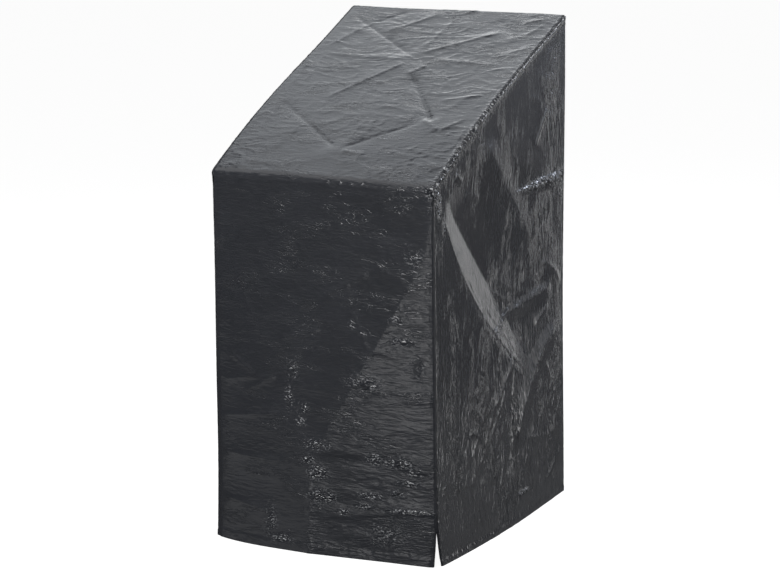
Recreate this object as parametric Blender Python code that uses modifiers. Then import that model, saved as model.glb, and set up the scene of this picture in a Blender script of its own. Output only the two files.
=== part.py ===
"""Stacking chair cover: a fitted weatherproof cloth cover for a stack of armchairs.

The maker cuts three pieces. One long strip makes the front, the sloping top and the back, with no
seam at its two folds. A side panel is sewn to each of its long edges. The cover hangs from the
stack under its top and is open at the hem, with a short vent left unsewn at the right front corner.

Lengths are in metres. +Z is up, the front faces -Y, and z = 0 is the level of the hem.
"""

import math

import bpy
import numpy as np

# Driving dimensions of the cover
WIDTH = 0.650
DEPTH = 0.800
FRONT_HEIGHT = 1.000
BACK_HEIGHT = 1.350
CLOTH = 0.0020
SEAM_GAP = 0.0003
CENTRE_Y = 0.007

# How the two folds of the strip are rounded, and how far the top arches between them
FRONT_FOLD_RADIUS = 0.026
BACK_FOLD_RADIUS = 0.006
TOP_ARCH = 0.016

# t (1 - t)^1.5 reaches 0.186 at its highest, and this brings it to 1
ARCH_SCALE = 5.38

# Vent at the foot of the right front corner seam
VENT_HEIGHT = 0.140
VENT_IN_FRONT = 0.010
VENT_IN_SIDE = 0.020

# How far each panel stands out between its seams
FRONT_BULGE = 0.036
TOP_SAG = 0.004
BACK_BULGE = 0.010
SIDE_BULGE = 0.013

# The front is two flats that meet in a slanting crease. Its top level, where it starts at the right
# seam, the level and place of its foot, and how far it shifts left below that
CREASE_TOP = 0.857
CREASE_FOOT = 0.285
CREASE_X = -0.012
CREASE_SHIFT = 0.023
CREASE_SOFT = 0.10
CREASE_ROUND = 0.05

# The back's bulge comes up over a share of its height. A side's fades upwards from the one height
# to the other, and its fullest line lies forward of the middle.
BACK_BULGE_SHARE = 0.80
SIDE_BULGE_FROM = 0.20
SIDE_BULGE_TO = 0.95
SIDE_BULGE_FORWARD = 0.70
ACROSS_POWER = 4

# How the whole cover leans and draws in: long waves, a waist in the back, a flare at the front hem
# and a left front edge that stands out, all the more from the one level down to the other
SWAY = 0.0018
WAIST = 0.0008
HEM_FLARE = 0.005
FLARE_HEIGHT = 0.350
LEFT_OUT = 0.0075
LEFT_OUT_FROM = 0.850
LEFT_OUT_TO = 0.350

# The upper left back corner stands out as well, from this level up
CORNER_OUT = 0.010
CORNER_FROM = 1.180

# A fold dies out before it reaches a seam: flat next to the stitches, full past the margin
SEAM_FLAT = 0.012
SEAM_MARGIN = 0.055

# Roundness of a crest and of a pleat's foot, as shares of the flank
CREST = 0.20
PLEAT_CREST = 0.10
PLEAT_FOOT = 0.10

# Each fold fades out over this share of its line at either end
FOLD_END = 1 / 6

# Numbers of mesh cells
STRIP_COLUMNS = 26
FRONT_ROWS = 28
TOP_ROWS = 34
BACK_ROWS = 20
FOLD_ROWS = 3
RIGHT_COLUMNS = 24
RIGHT_ROWS = 38
LEFT_COLUMNS = 14
LEFT_ROWS = 30

CLOTH_COLOUR = (0.032, 0.034, 0.038, 1.0)
CLOTH_ROUGHNESS = 0.42

SLOPE = math.atan2(BACK_HEIGHT - FRONT_HEIGHT, DEPTH)
SLOPE_LENGTH = math.hypot(BACK_HEIGHT - FRONT_HEIGHT, DEPTH)

# Columns of every fold table: the two ends, the height at each end, the width of the flank on the
# left and on the right of the line from start to end, and how far the line bows to its left. A
# negative height is a trough. On the strip, x runs across and s up the front from the hem and on
# up the slope.
STRIP_FOLDS = (
    # x0, s0, x1, s1, high0, high1, left, right, bow
    (0.002, 0.690, 0.150, 0.770, 0.004, 0.004, 0.022, 0.022, 0.000),
    (-0.330, 0.122, -0.130, 0.095, 0.006, 0.003, 0.020, 0.026, 0.004),
    (-0.330, 0.435, -0.120, 0.462, 0.005, 0.003, 0.026, 0.026, 0.006),
    (-0.330, 0.340, -0.100, 0.372, 0.004, 0.003, 0.026, 0.026, 0.000),
    (-0.330, 0.245, -0.090, 0.240, 0.004, 0.003, 0.024, 0.026, 0.000),
    (-0.010, 0.105, 0.320, 0.150, 0.003, 0.005, 0.020, 0.026, 0.000),
    (0.082, 0.515, 0.172, 0.442, 0.004, 0.004, 0.018, 0.018, 0.000),
    (-0.320, 1.825, -0.020, 1.600, -0.004, -0.008, 0.024, 0.020, 0.000),
    (-0.015, 1.570, -0.165, 1.340, 0.007, 0.005, 0.022, 0.026, 0.000),
    (-0.005, 1.610, 0.190, 1.750, 0.007, 0.005, 0.022, 0.024, 0.000),
    (-0.008, 1.630, 0.018, 1.830, 0.004, 0.003, 0.020, 0.020, 0.000),
    (-0.010, 1.578, -0.300, 1.580, 0.005, 0.003, 0.020, 0.022, 0.000),
    (0.035, 1.583, 0.270, 1.572, 0.004, 0.003, 0.020, 0.022, 0.000),
    (0.022, 1.510, 0.195, 1.270, -0.006, -0.010, 0.030, 0.026, 0.000),
    (0.170, 1.280, -0.008, 1.118, -0.009, -0.006, 0.028, 0.030, 0.000),
    (-0.290, 1.330, -0.006, 1.115, -0.005, -0.008, 0.026, 0.022, 0.000),
    (-0.165, 1.710, -0.030, 1.845, 0.007, 0.004, 0.028, 0.028, 0.000),
    (-0.140, 1.845, -0.218, 1.773, -0.004, -0.006, 0.020, 0.022, 0.000),
    (-0.215, 1.775, -0.298, 1.600, 0.005, 0.005, 0.022, 0.022, 0.000),
    (0.145, 1.825, 0.240, 1.720, -0.003, -0.006, 0.022, 0.022, 0.000),
    (0.160, 1.285, 0.230, 1.232, 0.005, 0.005, 0.020, 0.020, 0.000),
    (0.228, 1.230, 0.285, 1.300, 0.005, 0.004, 0.020, 0.020, 0.000),
    (0.165, 1.378, 0.290, 1.416, 0.004, 0.004, 0.020, 0.022, 0.000),
    (-0.150, 2.020, -0.130, 3.250, 0.003, 0.006, 0.060, 0.060, 0.000),
    (0.120, 2.050, 0.150, 3.250, 0.003, 0.006, 0.070, 0.060, 0.000),
)

# On a side panel, d runs back from the front edge and z up from the hem.
RIGHT_FOLDS = (
    # d0, z0, d1, z1, high0, high1, left, right, bow
    (0.390, 0.560, 0.560, 0.395, 0.012, 0.006, 0.040, 0.040, 0.000),
    (0.810, 0.535, 0.590, 0.402, 0.012, 0.014, 0.050, 0.045, 0.000),
    (0.600, 0.410, 0.470, 0.225, 0.014, 0.005, 0.045, 0.060, 0.000),
    (0.452, 0.480, 0.408, 0.120, -0.012, -0.008, 0.026, 0.022, 0.000),
    (0.345, 0.720, 0.425, 0.565, -0.006, -0.007, 0.020, 0.020, 0.000),
    (0.480, 0.905, 0.820, 0.900, 0.006, 0.011, 0.024, 0.030, 0.000),
    (0.330, 1.065, 0.570, 0.810, 0.006, 0.010, 0.040, 0.035, 0.000),
    (0.190, 0.190, 0.445, 0.495, 0.005, 0.008, 0.030, 0.030, -0.012),
    (0.640, 0.690, 0.785, 0.600, 0.008, 0.010, 0.020, 0.028, 0.012),
    (0.095, 0.840, 0.090, 0.180, 0.006, 0.006, 0.060, 0.040, 0.000),
    (0.420, 0.585, 0.700, 0.605, 0.008, 0.005, 0.024, 0.026, 0.000),
    (0.610, 1.205, 0.760, 1.160, 0.005, 0.005, 0.022, 0.024, 0.000),
    (0.600, 1.010, 0.680, 1.110, 0.005, 0.005, 0.026, 0.026, 0.000),
    (0.640, 0.060, 0.790, 0.150, 0.004, 0.006, 0.030, 0.030, 0.000),
)
LEFT_FOLDS = (
    # d0, z0, d1, z1, high0, high1, left, right, bow
    (0.800, 0.640, 0.430, 0.300, 0.012, 0.008, 0.080, 0.080, 0.000),
    (0.430, 0.960, 0.790, 0.930, 0.006, 0.008, 0.060, 0.060, 0.000),
)

# A pleat has two flat flanks, each with its width at either end of the line, and it ends at a foot.
RIGHT_PLEATS = (
    # d0, z0, d1, z1, high0, high1, left0, left1, right0, right1, bow
    (0.012, 0.990, 0.420, 0.535, 0.010, 0.028, 0.050, 0.130, 0.090, 0.170, -0.045),
)
LEFT_PLEATS = (
    # d0, z0, d1, z1, high0, high1, left0, left1, right0, right1, bow
    (0.020, 0.975, 0.460, 0.500, 0.008, 0.020, 0.060, 0.140, 0.090, 0.170, -0.035),
)


def smoothstep(t):
    """0 below t = 0, 1 above t = 1, and the cubic 3t^2 - 2t^3 between them."""
    t = np.clip(t, 0.0, 1.0)
    return t * t * (3.0 - 2.0 * t)


def strip_path():
    """Lengths along the strip at which its heading changes, and the heading at each, in radians.

    The strip climbs the front, turns into the slope at the front fold, and turns down the back.
    """
    front_turn = math.pi / 2 - SLOPE
    back_turn = math.pi / 2 + SLOPE
    front_cut = FRONT_FOLD_RADIUS * math.tan(front_turn / 2)
    back_cut = BACK_FOLD_RADIUS * math.tan(back_turn / 2)
    runs = (
        FRONT_HEIGHT - front_cut,
        FRONT_FOLD_RADIUS * front_turn,
        SLOPE_LENGTH - front_cut - back_cut,
        BACK_FOLD_RADIUS * back_turn,
        BACK_HEIGHT - back_cut,
    )
    marks = np.concatenate(([0.0], np.cumsum(runs)))
    headings = np.array((math.pi / 2, math.pi / 2, SLOPE, SLOPE, -math.pi / 2, -math.pi / 2))
    return marks, headings


MARKS, HEADINGS = strip_path()


def strip_line(s):
    """Place (y, z) and outward direction (ny, nz) of the strip's outer face, s along from the hem.

    The place is the running sum of the heading, and the arch is added along the slope's normal:
    it rises behind the front fold, is highest two fifths of the way up and dies out at the back.
    """
    fine = np.linspace(0.0, MARKS[-1], 6001)
    heading = np.interp(fine, MARKS, HEADINGS)
    middle = (heading[1:] + heading[:-1]) / 2
    step = fine[1]
    y = np.concatenate(([0.0], np.cumsum(np.cos(middle) * step))) - DEPTH / 2
    z = np.concatenate(([0.0], np.cumsum(np.sin(middle) * step)))
    normal = heading + math.pi / 2
    t = np.clip((fine - MARKS[2]) / (MARKS[3] - MARKS[2]), 0.0, 1.0)
    arch = TOP_ARCH * ARCH_SCALE * t * (1.0 - t) ** 1.5
    y = y + arch * -math.sin(SLOPE)
    z = z + arch * math.cos(SLOPE)
    ny = np.interp(s, fine, np.cos(normal))
    nz = np.interp(s, fine, np.sin(normal))
    return np.interp(s, fine, y), np.interp(s, fine, z), ny, nz


def along_and_across(a, b, a0, b0, a1, b1, bow):
    """Where (a, b) lies from a line: its share of the way along, and how far to the left across."""
    length = math.hypot(a1 - a0, b1 - b0)
    ua = (a1 - a0) / length
    ub = (b1 - b0) / length
    along = ((a - a0) * ua + (b - b0) * ub) / length
    inside = np.clip(along, 0.0, 1.0)
    across = (b - b0) * ua - (a - a0) * ub - bow * 4.0 * inside * (1.0 - inside)
    return along, inside, across


def fade(along):
    """0 at both ends of a line and 1 between them."""
    return smoothstep(along / FOLD_END) * smoothstep((1.0 - along) / FOLD_END)


def fold_field(a, b, table):
    """Sum of the folds of a table at the places (a, b) of a panel.

    Across its line a fold is a tent with a round crest, exp(c - sqrt(t^2 + c^2)), where t is the
    distance from the line over the flank's width. Along the line its height runs straight from one
    end to the other.
    """
    total = np.zeros_like(a)
    for a0, b0, a1, b1, high0, high1, left, right, bow in table:
        along, inside, across = along_and_across(a, b, a0, b0, a1, b1, bow)
        t = across / np.where(across > 0.0, left, right)
        tent = np.exp(CREST - np.sqrt(t * t + CREST * CREST))
        total += (high0 + (high1 - high0) * inside) * tent * fade(along)
    return total


def pleat_field(a, b, table):
    """Sum of the pleats of a table at the places (a, b) of a panel.

    Across its line a pleat is a flat-sided hat, 1 - |t| but never below 0, where t is the distance
    from the line over the flank's width. Its crest and its feet are rounded a little.
    """
    total = np.zeros_like(a)
    for a0, b0, a1, b1, high0, high1, left0, left1, right0, right1, bow in table:
        along, inside, across = along_and_across(a, b, a0, b0, a1, b1, bow)
        left = left0 + (left1 - left0) * inside
        right = right0 + (right1 - right0) * inside
        t = across / np.where(across > 0.0, left, right)
        drop = 1.0 + PLEAT_CREST - np.sqrt(t * t + PLEAT_CREST * PLEAT_CREST)
        hat = 0.5 * (drop + np.sqrt(drop * drop + PLEAT_FOOT * PLEAT_FOOT))
        total += (high0 + (high1 - high0) * inside) * hat * fade(along)
    return total


def held(distance):
    """0 on the flat next to a seam, 1 past the margin."""
    return smoothstep((distance - SEAM_FLAT) / SEAM_MARGIN)


def settle(points):
    """Leans and sags the whole cover by a few millimetres, the same for every piece it touches.

    Long sine waves move each point. The back corners draw in round a waist at mid height, the front
    of the hem flares sideways, and the left front edge stands out below the fold.
    """
    x, y, z = points.T
    outward = x / (WIDTH / 2)
    behind = smoothstep((y - CENTRE_Y) / (DEPTH / 2))
    waist = WAIST * behind * np.sin(np.pi * np.clip(z / BACK_HEIGHT, 0.0, 1.0)) ** 2
    flare = HEM_FLARE * (1.0 - behind) * np.clip(1.0 - z / FLARE_HEIGHT, 0.0, 1.0) ** 2
    clear_of_hem = smoothstep(z / FLARE_HEIGHT)
    down = smoothstep((LEFT_OUT_FROM - z) / (LEFT_OUT_FROM - LEFT_OUT_TO))
    left_out = LEFT_OUT * (1.0 - behind) * down * (outward < 0.0)
    up = smoothstep((z - CORNER_FROM) / (BACK_HEIGHT - CORNER_FROM))
    corner = CORNER_OUT * behind * up * (outward < 0.0)
    move = (
        SWAY * np.sin(5.0 * z + 2.0 * y + 0.6) + (flare + left_out + corner - waist) * outward,
        SWAY * np.sin(5.0 * z + 4.0 * x + 1.9) - waist,
        -SWAY * np.sin(7.0 * x + 5.0 * y + 0.9) * clear_of_hem,
    )
    return points + np.stack(move, axis=1)


def vent(z):
    """How far the vent is open at height z, from 1 at the hem to 0 at its top."""
    return np.clip(1.0 - z / VENT_HEIGHT, 0.0, 1.0) ** 1.5


def soft_clip(t, soft):
    """t held between 0 and 1, with both corners rounded."""
    return 0.5 * (1.0 + np.sqrt(t * t + soft * soft) - np.sqrt((t - 1.0) ** 2 + soft * soft))


def front_height(x, s):
    """How far the front stands out: two flats that meet in a slanting crease.

    One flat leans out from the crease's top level down to its foot, and stays out below. The other
    falls away from the crease to the right seam. The cloth follows the lower one, rounded where
    they meet, and turns back to the left seam.
    """
    lean = soft_clip((CREASE_TOP - s) / (CREASE_TOP - CREASE_FOOT), CREASE_SOFT)
    start = CREASE_X - CREASE_SHIFT * smoothstep((CREASE_FOOT - s) / CREASE_SHIFT)
    fall = (WIDTH / 2 - x) / (WIDTH / 2 - start)
    lower = 0.5 * (lean + fall - np.sqrt((lean - fall) ** 2 + CREASE_ROUND ** 2))
    return FRONT_BULGE * lower * (1.0 - np.clip(-x / (WIDTH / 2), 0.0, 1.0) ** ACROSS_POWER)


def strip_height(x, s):
    """How far the strip stands out of its flat panels at (x, s)."""
    reach = 1.0 - np.abs(x / (WIDTH / 2)) ** ACROSS_POWER
    up_slope = np.clip((s - MARKS[2]) / (MARKS[3] - MARKS[2]), 0.0, 1.0)
    sag = -TOP_SAG * np.sin(np.pi * up_slope) ** 2
    down_back = np.clip((s - MARKS[4]) / (MARKS[5] - MARKS[4]), 0.0, 1.0)
    back = BACK_BULGE * smoothstep(down_back / BACK_BULGE_SHARE)
    return front_height(x, s) + reach * (sag + back)


def strip_rows():
    """The lengths s at which the strip has a row of points, closer round its two folds."""
    counts = (FRONT_ROWS, FOLD_ROWS, TOP_ROWS, FOLD_ROWS, BACK_ROWS)
    parts = [np.linspace(MARKS[i], MARKS[i + 1], counts[i] + 1)[:-1] for i in range(len(counts))]
    return np.concatenate(parts + [MARKS[-1:]])


def strip_points():
    """Grid of the long strip, rows along s and columns across x."""
    s = strip_rows()
    u = np.linspace(-1.0, 1.0, STRIP_COLUMNS + 1)
    y, z, ny, nz = strip_line(s)
    half = WIDTH / 2 - CLOTH - SEAM_GAP
    x = half * u[None, :] - VENT_IN_FRONT * vent(s)[:, None] * np.clip(u, 0.0, 1.0)[None, :] ** 3
    s_grid = np.broadcast_to(s[:, None], x.shape)
    edge = half * (1.0 - np.abs(u))[None, :]
    high = strip_height(x, s_grid) + fold_field(x, s_grid, STRIP_FOLDS) * held(edge)
    high = high * smoothstep((edge - SEAM_FLAT / 4) / SEAM_FLAT)
    grid = np.stack(
        (x, y[:, None] + ny[:, None] * high + CENTRE_Y, z[:, None] + nz[:, None] * high), axis=2
    )
    return grid


def side_columns(columns):
    """Distances back from the front edge at which a side panel has a column of points.

    The profile's two rounded folds get columns of their own.
    """
    round_front = strip_line(np.linspace(MARKS[1], MARKS[2], FOLD_ROWS + 1))[0] + DEPTH / 2
    round_back = strip_line(np.linspace(MARKS[3], MARKS[4], FOLD_ROWS + 1))[0] + DEPTH / 2
    inner = np.linspace(round_front[-1], round_back[0], columns + 1)[1:-1]
    return np.concatenate((round_front, inner, round_back))


def side_top(d):
    """Height of a side panel's upper edge at distance d back from the front edge."""
    s = np.linspace(MARKS[1], MARKS[4], 3001)
    y, z, _, _ = strip_line(s)
    return np.interp(d, y + DEPTH / 2, z)


def side_points(columns, rows, folds, pleats, side):
    """Grid of one side panel, rows up z and columns back along d; side is +1 right, -1 left."""
    d = side_columns(columns)
    q = np.linspace(0.0, 1.0, rows + 1)
    z = q[:, None] * side_top(d)[None, :]
    pulled = VENT_IN_SIDE * max(side, 0.0) * vent(z) * (1.0 - d / DEPTH)[None, :] ** 5
    d = d[None, :] + pulled
    edge = np.minimum(np.minimum(d - pulled, DEPTH - d), side_top(d) - z)
    across = np.clip(d / DEPTH, 0.0, 1.0) ** SIDE_BULGE_FORWARD
    low = smoothstep((SIDE_BULGE_TO - z) / (SIDE_BULGE_TO - SIDE_BULGE_FROM))
    bulge = SIDE_BULGE * np.sin(np.pi * across) * low
    high = (bulge + fold_field(d, z, folds) + pleat_field(d, z, pleats)) * held(edge)
    return np.stack((side * (WIDTH / 2 + high), d - DEPTH / 2 + CENTRE_Y, z), axis=2)


def grid_mesh(name, grid, outward_first):
    """Open surface mesh of a grid of points, its faces turned so that they point outwards."""
    rows, columns = grid.shape[:2]
    index = np.arange(rows * columns).reshape(rows, columns)
    a, b, c, d = index[:-1, :-1], index[:-1, 1:], index[1:, 1:], index[1:, :-1]
    order = (a, b, c, d) if outward_first else (a, d, c, b)
    faces = np.stack(order, axis=2).reshape(-1, 4)
    mesh = bpy.data.meshes.new(name)
    mesh.from_pydata(settle(grid.reshape(-1, 3)).tolist(), [], faces.tolist())
    mesh.shade_smooth()
    return mesh


def cloth_material(name):
    """Dark coated woven cloth with a soft gloss."""
    material = bpy.data.materials.new(name)
    material.use_nodes = True
    shader = material.node_tree.nodes["Principled BSDF"]
    shader.inputs["Base Color"].default_value = CLOTH_COLOUR
    shader.inputs["Roughness"].default_value = CLOTH_ROUGHNESS
    shader.inputs["Metallic"].default_value = 0.0
    return material


def sheet(name, grid, outward_first, collection):
    """One cut piece of cloth: the grid's surface given its thickness inwards."""
    mesh = grid_mesh(name, grid, outward_first)
    mesh.materials.append(cloth_material(name + "_cloth"))
    piece = bpy.data.objects.new(name, mesh)
    collection.objects.link(piece)
    wall = piece.modifiers.new("cloth thickness", "SOLIDIFY")
    wall.thickness = CLOTH
    wall.offset = -1.0
    return piece


def main():
    for old in list(bpy.data.objects):
        bpy.data.objects.remove(old)
    collection = bpy.data.collections.new("stacking_chair_cover")
    bpy.context.scene.collection.children.link(collection)
    sheet("front_top_back_panel", strip_points(), True, collection)
    right = side_points(RIGHT_COLUMNS, RIGHT_ROWS, RIGHT_FOLDS, RIGHT_PLEATS, 1.0)
    sheet("right_side_panel", right, True, collection)
    left = side_points(LEFT_COLUMNS, LEFT_ROWS, LEFT_FOLDS, LEFT_PLEATS, -1.0)
    sheet("left_side_panel", left, False, collection)


main()
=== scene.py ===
# %% [markdown]
# # A cover for a stack of garden chairs
#
# The real thing is three cut pieces of polyethylene sheeting: one long strip for the front, the
# sloping top and the back, and a side panel sewn to each of its long edges. It hangs from the
# stack, so every panel carries folds from the packet it came in and wrinkles from being pulled on.
# This lesson builds the three pieces as thin sheets, from formulas, and lays them on the fixed
# frame of the CAD model.

# %% Load the frame
import math

import bpy
import numpy as np
from mathutils import Matrix, Vector


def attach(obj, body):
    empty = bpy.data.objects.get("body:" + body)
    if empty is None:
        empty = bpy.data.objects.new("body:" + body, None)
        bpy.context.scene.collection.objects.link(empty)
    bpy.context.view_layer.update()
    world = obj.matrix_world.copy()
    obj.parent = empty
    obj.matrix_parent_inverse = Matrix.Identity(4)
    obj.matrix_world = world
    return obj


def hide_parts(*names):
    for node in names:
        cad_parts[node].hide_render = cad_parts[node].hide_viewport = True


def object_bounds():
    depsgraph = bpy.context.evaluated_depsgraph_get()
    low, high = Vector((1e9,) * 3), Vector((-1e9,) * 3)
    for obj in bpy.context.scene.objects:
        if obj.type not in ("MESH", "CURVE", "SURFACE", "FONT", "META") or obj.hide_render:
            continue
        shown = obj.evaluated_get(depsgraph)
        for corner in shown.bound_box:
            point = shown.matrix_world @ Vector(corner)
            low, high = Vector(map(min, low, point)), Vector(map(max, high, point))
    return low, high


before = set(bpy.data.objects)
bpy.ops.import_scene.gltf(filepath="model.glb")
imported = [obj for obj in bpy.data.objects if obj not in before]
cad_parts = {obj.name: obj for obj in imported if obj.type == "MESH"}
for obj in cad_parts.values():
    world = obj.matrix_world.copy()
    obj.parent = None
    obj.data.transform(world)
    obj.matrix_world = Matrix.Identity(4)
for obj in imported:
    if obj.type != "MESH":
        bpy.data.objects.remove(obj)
cad_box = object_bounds()
print("CAD box", [round(c, 3) for corner in cad_box for c in corner])

# %% [markdown]
# ## Camera
#
# The camera stands a little to the right of the front and looks down on the cover. A long lens
# keeps the upright edges nearly parallel. Its place is worked out from two angles, a distance and
# the point that it aims at.

# %% Camera
LENS_MM = 129.230769
SENSOR_MM = 36.0
VIEW = {
    "azimuth": 27.85,
    "elevation": 12.30,
    "roll": -0.576,
    "distance": 7.603,
    "target": (-0.0106, 0.0, 0.6211),
}


def aim(azimuth, elevation, roll):
    """Turn of an object that looks at its target, and the direction from the target back to it.

    The angles are in degrees. Azimuth 0 stands in front and looks along +Y. The object looks along
    its own -Z axis.
    """
    a, e, r = (math.radians(v) for v in (azimuth, elevation, roll))
    back = Vector((math.sin(a) * math.cos(e), -math.cos(a) * math.cos(e), math.sin(e)))
    right = (-back).cross(Vector((0.0, 0.0, 1.0))).normalized()
    up = right.cross(-back)
    turned = (right * math.cos(r) + up * math.sin(r), up * math.cos(r) - right * math.sin(r), back)
    return Matrix(turned).transposed().to_4x4(), back


def place(obj, azimuth, elevation, distance, target, roll=0.0):
    """Links an object to the scene, that far from the target and turned to look at it."""
    turn, back = aim(azimuth, elevation, roll)
    obj.matrix_world = Matrix.Translation(Vector(target) + back * distance) @ turn
    bpy.context.scene.collection.objects.link(obj)
    return obj


lens = bpy.data.cameras.new("camera")
lens.sensor_width = SENSOR_MM
lens.lens = LENS_MM
camera = bpy.data.objects.new("camera", lens)
place(camera, **VIEW)
bpy.context.scene.camera = camera
print("camera at", [round(c, 2) for c in camera.location], "lens", round(lens.lens, 1), "mm")

# %% [markdown]
# ## Floor and light
#
# Dark sheeting shows little colour of its own. What the eye reads as its shape is what its gloss
# mirrors, so the lamps matter as much as the cloth, and each one stands where some part of the
# cover mirrors it. A wide one behind and above lights the sloping top. Low ones in front light the
# front and its slanting facet, low ones on the right and behind light the band and the ridge of
# the right side, and three small bright ones make wrinkles sparkle. Two faint ones serve the
# sides, as seen from elsewhere. Some stand lower than the floor. They can, because the floor glows
# white by itself, throws no shadow and isn't mirrored.

# %% Colours
def colour(code):
    """Linear colour of an sRGB hex code such as #34363A."""
    values = [int(code[i:i + 2], 16) / 255 for i in (1, 3, 5)]
    return [v / 12.92 if v <= 0.04045 else ((v + 0.055) / 1.055) ** 2.4 for v in values] + [1.0]


WHITE = colour("#FFFFFF")
print("#34363A in linear light:", np.round(colour("#34363A"), 3))

# %% Floor, room and lamps
FLOOR_SIZE = 90.0
FLOOR_DROP = 0.0005
# Matt paper, grey in itself, because it glows as well.
PAPER = {
    "Base Color": colour("#959595"),
    "Roughness": 0.9,
    "Emission Color": WHITE,
    "Emission Strength": 0.95,
}
ROOM_GLOW = {"From Min": -0.10, "From Max": 0.10, "To Min": 0.06, "To Max": 0.05}
CENTRE = (0.0, 0.0, 0.65)
LAMPS = (
    # name, azimuth, elevation, distance, width, height, radiance, any tint
    ("lamp_over", 216.0, 50.0, 3.4, 2.6, 2.4, 1.3, (0.92, 0.96, 1.0)),
    ("lamp_over_behind", 202.0, 32.0, 4.0, 1.4, 0.9, 1.4),
    ("lamp_high", 5.0, 78.0, 3.4, 1.6, 1.6, 1.8),
    ("lamp_fold", -58.0, 58.0, 3.4, 2.4, 2.0, 1.2),
    ("lamp_fill", 10.0, 35.0, 4.0, 2.0, 2.0, 1.2),
    ("lamp_glint", -6.0, 22.0, 4.0, 0.9, 0.9, 18.0),
    ("lamp_front", -8.0, -12.0, 7.0, 1.8, 1.0, 2.8),
    ("lamp_front_low", -46.0, -26.0, 8.0, 6.0, 2.4, 0.45),
    ("lamp_front_high", -30.0, 4.0, 8.0, 3.0, 1.2, 0.3),
    ("lamp_right", 121.0, -10.0, 8.0, 1.6, 2.0, 6.5),
    ("lamp_ridge", 133.0, 0.0, 8.0, 2.4, 1.2, 1.2),
    ("lamp_right_low", 152.0, -24.0, 8.0, 4.0, 2.0, 0.15),
    ("lamp_behind", 169.0, -8.0, 8.0, 1.6, 1.6, 1.1),
    ("lamp_blue", 147.0, 12.0, 4.4, 0.5, 0.8, 24.0, (0.80, 0.87, 1.0)),
    ("lamp_seam", 131.0, 44.0, 4.0, 1.2, 1.2, 10.0),
    ("lamp_left", -120.0, -12.0, 8.0, 3.0, 2.4, 0.8),
    ("lamp_side", 61.0, -10.0, 8.0, 3.0, 2.4, 0.7),
)


def node(tree, kind, inputs=(), out=0, **settings):
    """Adds a shader node, sets it, joins or fills its inputs, and gives one of its outputs.

    A dictionary names the inputs, and a tuple gives them in their order.
    """
    made = tree.nodes.new("ShaderNode" + kind)
    for key, value in settings.items():
        setattr(made, key, value)
    given = inputs if isinstance(inputs, dict) else dict(enumerate(inputs))
    for key, value in given.items():
        if isinstance(value, bpy.types.NodeSocket):
            tree.links.new(value, made.inputs[key])
        else:
            made.inputs[key].default_value = value
    return made.outputs[out]


def lamp(name, azimuth, elevation, distance, width, height, radiance, tint=WHITE[:3]):
    """Rectangular area lamp that faces the cover.

    Its power is radiance times pi times its area, which is what a matt glowing sheet gives off.
    """
    light = bpy.data.lights.new(name, "AREA")
    light.shape = "RECTANGLE"
    light.size, light.size_y = width, height
    light.energy = radiance * math.pi * width * height
    light.color = tint
    obj = place(bpy.data.objects.new(name, light), azimuth, elevation, distance, CENTRE)
    obj.visible_camera = False


bpy.ops.mesh.primitive_plane_add(size=FLOOR_SIZE, location=(0.0, 0.0, cad_box[0].z - FLOOR_DROP))
floor = bpy.context.object
floor.name = "floor"
paper = bpy.data.materials.new("white_paper")
paper.use_nodes = True
for key, value in PAPER.items():
    paper.node_tree.nodes["Principled BSDF"].inputs[key].default_value = value
floor.data.materials.append(paper)
floor.visible_glossy = floor.visible_diffuse = floor.visible_shadow = False

world = bpy.data.worlds.new("studio")
world.use_nodes = True
room = world.node_tree
upward = node(room, "SeparateXYZ", (node(room, "TexCoord", out="Generated"),), out="Z")
glow = node(room, "MapRange", {"Value": upward, **ROOM_GLOW})
room.links.new(glow, room.nodes["Background"].inputs["Strength"])
room.nodes["Background"].inputs["Color"].default_value = WHITE
bpy.context.scene.world = world
bpy.context.scene.view_settings.view_transform = "Standard"

for row in LAMPS:
    lamp(*row)
print("lamps:", [row[0] for row in LAMPS])

# %% [markdown]
# ## The maker's sizes
#
# These are the cover's own measures, the same that its solids were drawn from. The profile is what
# the long strip follows: up the front, over the front fold, up the slope, over the back fold and
# down the back. It is found by walking along the strip and adding up the heading, which gives
# smooth folds without joining arcs by hand.

# %% Sizes and profile
WIDTH = 0.650
DEPTH = 0.800
FRONT_HEIGHT = 1.000
BACK_HEIGHT = 1.350
CLOTH = 0.0020
SEAM_GAP = 0.0003
CENTRE_Y = 0.007
FRONT_FOLD_RADIUS = 0.026
BACK_FOLD_RADIUS = 0.006
TOP_ARCH = 0.016
ARCH_POWER = 1.5
ARCH_SCALE = 5.38
SLOPE = math.atan2(BACK_HEIGHT - FRONT_HEIGHT, DEPTH)
SLOPE_LENGTH = math.hypot(BACK_HEIGHT - FRONT_HEIGHT, DEPTH)
PATH_STEPS = 6001


def smoothstep(t):
    """0 below t = 0, 1 above t = 1, and the cubic 3t^2 - 2t^3 between them."""
    t = np.clip(t, 0.0, 1.0)
    return t * t * (3.0 - 2.0 * t)


def strip_path():
    """Lengths along the strip where its heading changes, and the heading at each, in radians.

    A round fold begins its radius times tan(half its turn) before the corner.
    """
    front_turn = math.pi / 2 - SLOPE
    back_turn = math.pi / 2 + SLOPE
    front_cut = FRONT_FOLD_RADIUS * math.tan(front_turn / 2)
    back_cut = BACK_FOLD_RADIUS * math.tan(back_turn / 2)
    runs = (
        FRONT_HEIGHT - front_cut,
        FRONT_FOLD_RADIUS * front_turn,
        SLOPE_LENGTH - front_cut - back_cut,
        BACK_FOLD_RADIUS * back_turn,
        BACK_HEIGHT - back_cut,
    )
    marks = np.concatenate(([0.0], np.cumsum(runs)))
    return marks, np.array((math.pi / 2, math.pi / 2, SLOPE, SLOPE, -math.pi / 2, -math.pi / 2))


MARKS, HEADINGS = strip_path()


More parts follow.
